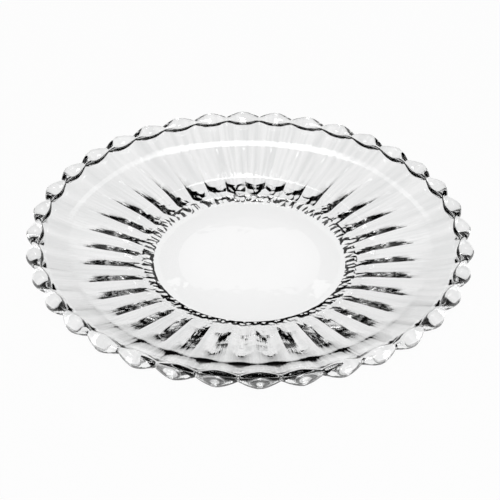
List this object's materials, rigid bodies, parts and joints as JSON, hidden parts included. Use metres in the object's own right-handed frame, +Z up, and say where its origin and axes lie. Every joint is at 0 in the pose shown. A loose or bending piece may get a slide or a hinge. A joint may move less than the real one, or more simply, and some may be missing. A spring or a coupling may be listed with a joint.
{
  "type": "cake plate",
  "caption": "Round clear pressed glass cake plate with a flat sunken well, a reeded sloping shoulder and a rim of long, rounded beads, for standing a cake or pastries on.",
  "frame": {"origin": "centre of the plate, on the plane that its foot ring stands on", "axes": "+Z up along the plate's axis, +X through the middle of one rim bead"},
  "size_m": [0.3202, 0.3202, 0.0347],
  "materials": {
    "clear_glass": "clear colourless pressed glass, fire polished"
  },
  "bodies": {
    "root": {"cake_plate": "clear_glass"}
  },
  "joints": []
}
